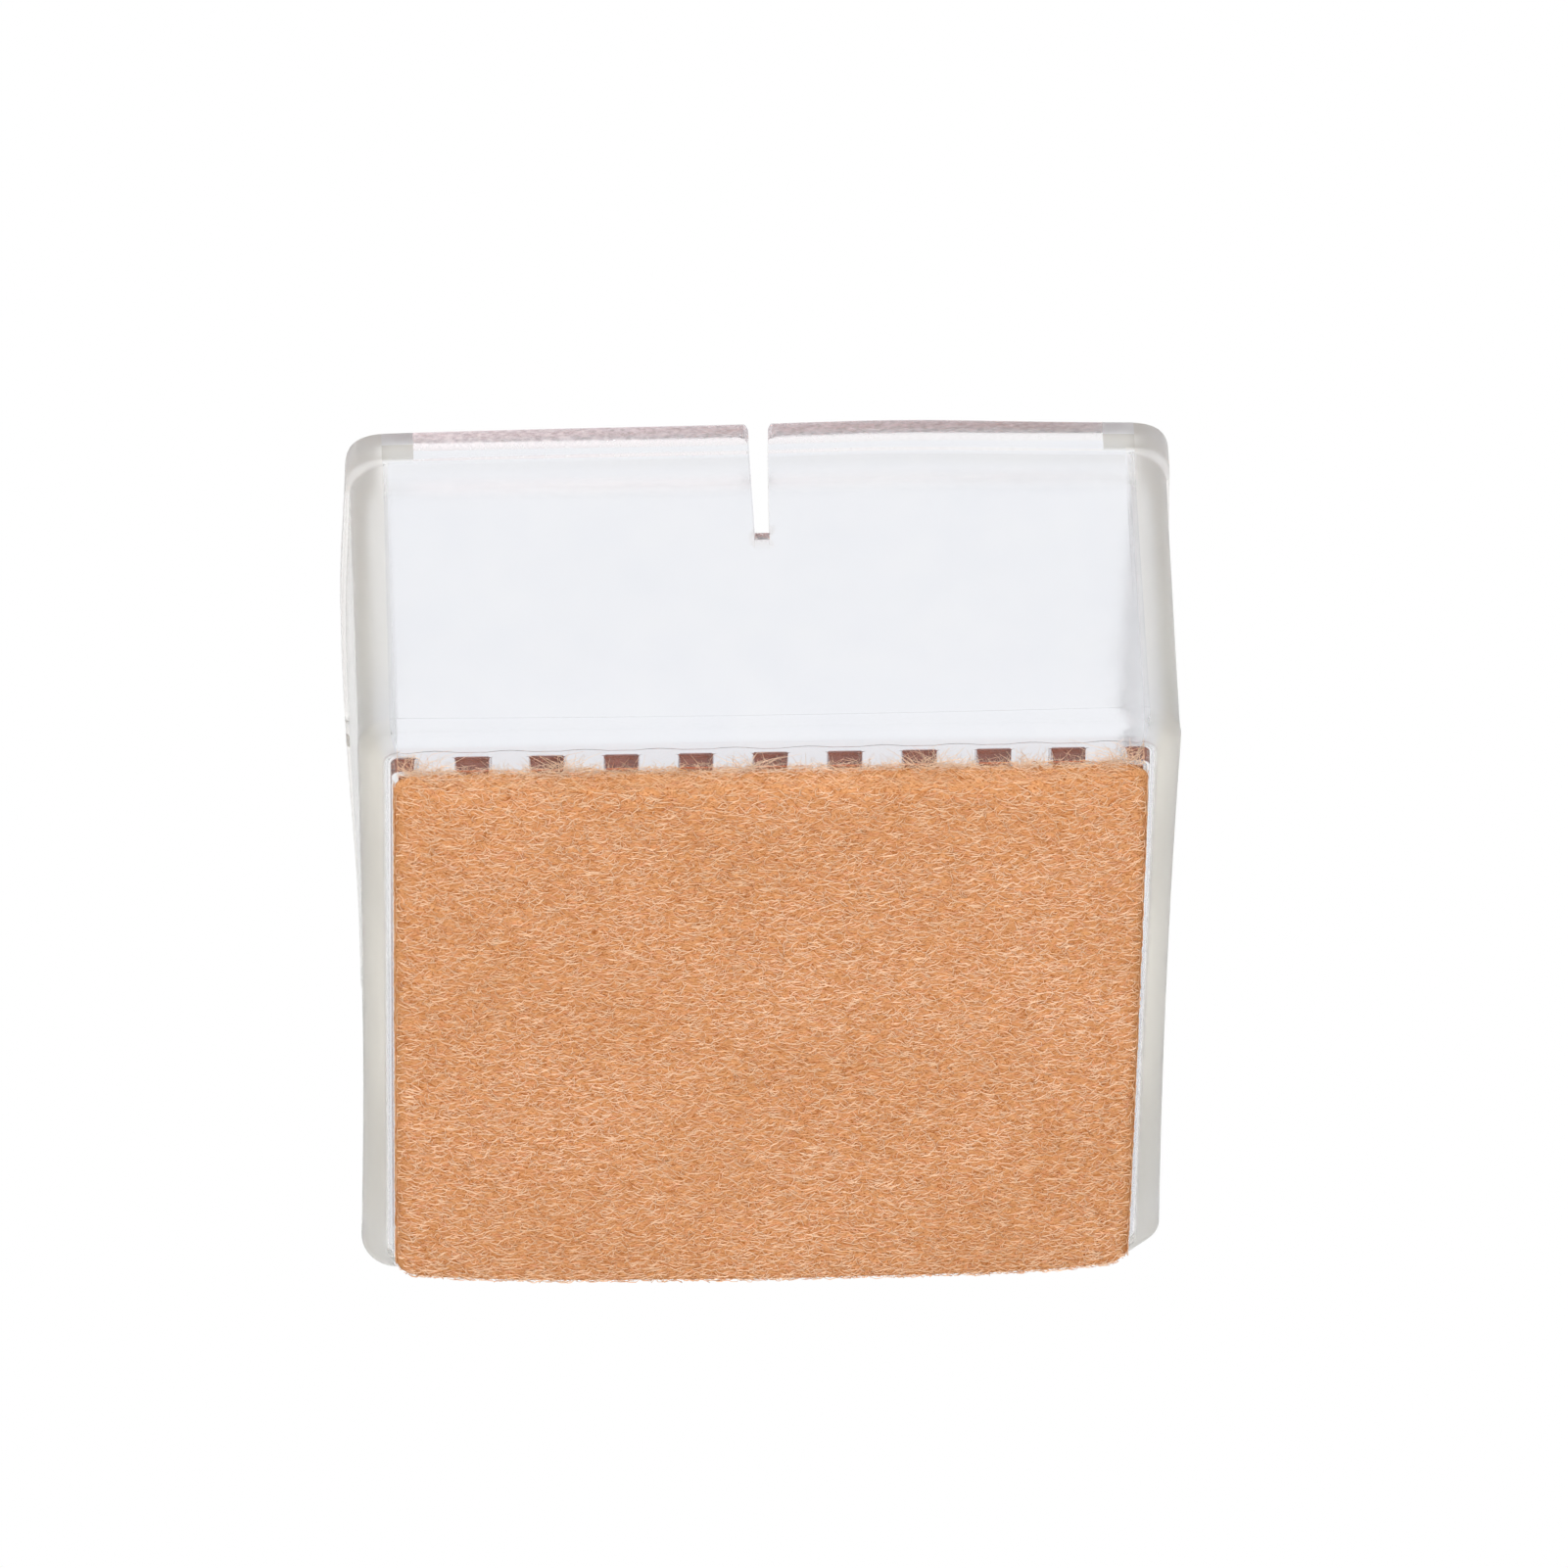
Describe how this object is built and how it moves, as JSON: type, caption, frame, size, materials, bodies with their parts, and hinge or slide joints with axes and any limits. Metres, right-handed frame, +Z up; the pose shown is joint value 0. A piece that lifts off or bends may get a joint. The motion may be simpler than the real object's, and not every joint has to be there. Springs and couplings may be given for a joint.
{
  "type": "chair leg cap",
  "caption": "Clear soft square cap that pushes onto a chair leg, with slit walls, a thick gripping rim, a ribbed base and a felt sole that slides on floors.",
  "frame": {"origin": "middle of the felt sole's lowest face, under the middle of the cap", "axes": "+Z up the leg, out of the mouth; X and Y square to the walls, with the ribs under the base along Y"},
  "size_m": [0.0404, 0.0404, 0.0226],
  "materials": {
    "clear_plastic": "clear soft moulded plastic, smooth with a faint warm tint along its edges",
    "glue": "thin clear glue layer, slightly amber",
    "felt": "pressed needle felt, tan orange, fuzzy"
  },
  "bodies": {
    "root": {"cap_sleeve": "clear_plastic", "adhesive_film": "glue", "felt_pad": "felt"}
  },
  "joints": []
}
